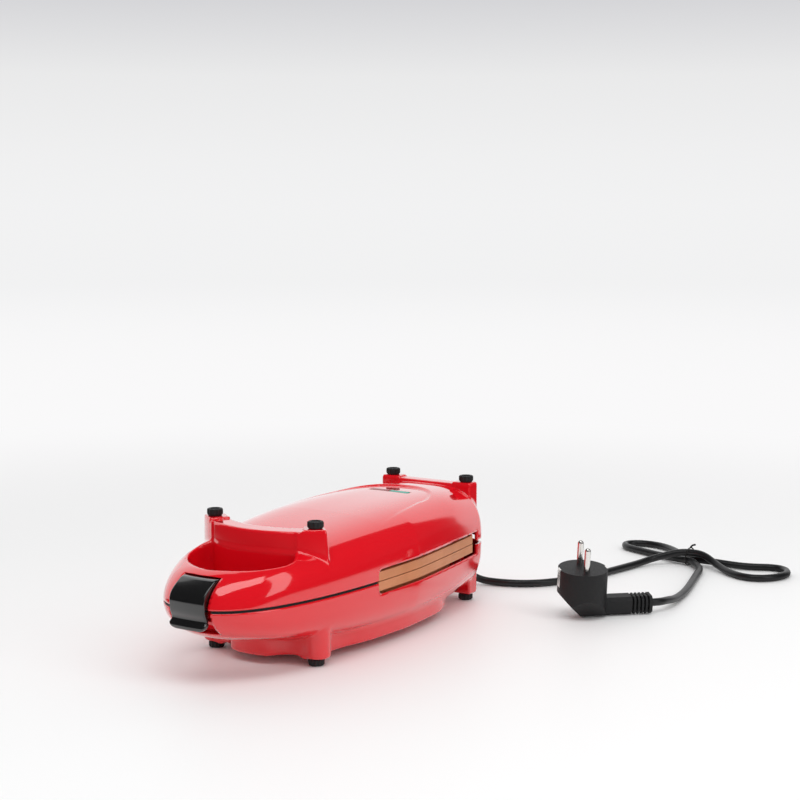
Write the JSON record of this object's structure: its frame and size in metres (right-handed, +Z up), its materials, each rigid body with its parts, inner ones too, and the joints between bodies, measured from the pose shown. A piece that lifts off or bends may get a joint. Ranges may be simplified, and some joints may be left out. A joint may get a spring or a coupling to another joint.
{
  "type": "double-sided electric skillet",
  "caption": "Clamshell contact cooker with twin cooking plates, hinged lid, nose latch, through handle, rubber feet above and below, and a mains cord with a plug.",
  "frame": {"origin": "on the floor under the middle of the cooker's box, cord left out", "axes": "+Z up, +Y from the latch at the nose to the hinge at the rear, X across"},
  "size_m": [0.2916, 0.5663, 0.1],
  "materials": {
    "red_gloss": "glossy moulded red",
    "black_plastic": "heat-resistant black, satin",
    "coated_plate": "die-cast, non-stick coating of a tan bronze",
    "heater_steel": "sheathed element",
    "shield_metal": "bright rolled sheet",
    "fastener_steel": "zinc plated",
    "ceramic_white": "unglazed white",
    "wire_cover": "glass-fibre sleeve",
    "foot_rubber": "black, ribbed tip",
    "cord_rubber": "black, smooth",
    "pin_chrome": "nickel plated",
    "lens_red": "dark red, clear",
    "lens_green": "teal green, clear",
    "lamp_glass": "neon lamp glass",
    "latch_gloss": "glossy black",
    "tie_wire": "black covered wire",
    "plug_plastic": "moulded black"
  },
  "bodies": {
    "base": {"lower_shell": "red_gloss", "lower_frame": "black_plastic", "lower_rear_cover": "black_plastic", "lower_plate": "coated_plate", "lower_heater": "heater_steel", "lower_shield": "shield_metal", "lower_shield_studs": "fastener_steel", "lower_thermostat": "ceramic_white", "lower_fuse": "ceramic_white", "lower_wiring": "wire_cover", "lower_foot_screws": "fastener_steel", "lower_plate_screws": "fastener_steel", "lower_frame_screws": "fastener_steel", "lower_foot_front_left": "foot_rubber", "lower_foot_front_right": "foot_rubber", "lower_foot_rear_left": "foot_rubber", "lower_foot_rear_right": "foot_rubber", "terminal_block": "ceramic_white", "cord_clamp": "black_plastic", "cord_gland": "cord_rubber", "cord_inner": "cord_rubber", "hinge_pin": "pin_chrome", "cord_lead": "cord_rubber", "cord_hank": "cord_rubber", "cord_tail": "cord_rubber", "cord_tie": "tie_wire", "plug_body": "plug_plastic", "plug_relief": "plug_plastic", "plug_pins": "pin_chrome", "plug_earth_contacts": "pin_chrome"},
    "lid": {"upper_shell": "red_gloss", "upper_frame": "black_plastic", "upper_rear_cover": "black_plastic", "upper_plate": "coated_plate", "upper_heater": "heater_steel", "upper_shield": "shield_metal", "upper_shield_studs": "fastener_steel", "upper_thermostat": "ceramic_white", "upper_fuse": "ceramic_white", "upper_wiring": "wire_cover", "upper_foot_screws": "fastener_steel", "upper_plate_screws": "fastener_steel", "upper_frame_screws": "fastener_steel", "upper_foot_front_left": "foot_rubber", "upper_foot_front_right": "foot_rubber", "upper_foot_rear_left": "foot_rubber", "upper_foot_rear_right": "foot_rubber", "lens_red": "lens_red", "lens_green": "lens_green", "lamps": "lamp_glass", "lamp_holder": "black_plastic", "latch_pin": "pin_chrome"},
    "latch": {"latch": "latch_gloss"}
  },
  "joints": [
    {"name": "lid_hinge", "type": "hinge", "parent": "base", "child": "lid", "pos_m": [0, 0.1545, 0.05], "axis": [-1, 0, 0], "range_deg": [0, 105]},
    {"name": "latch_hinge", "type": "hinge", "parent": "lid", "child": "latch", "pos_m": [0, -0.1434, 0.06385], "axis": [-1, 0, 0], "range_deg": [0, 30]}
  ]
}
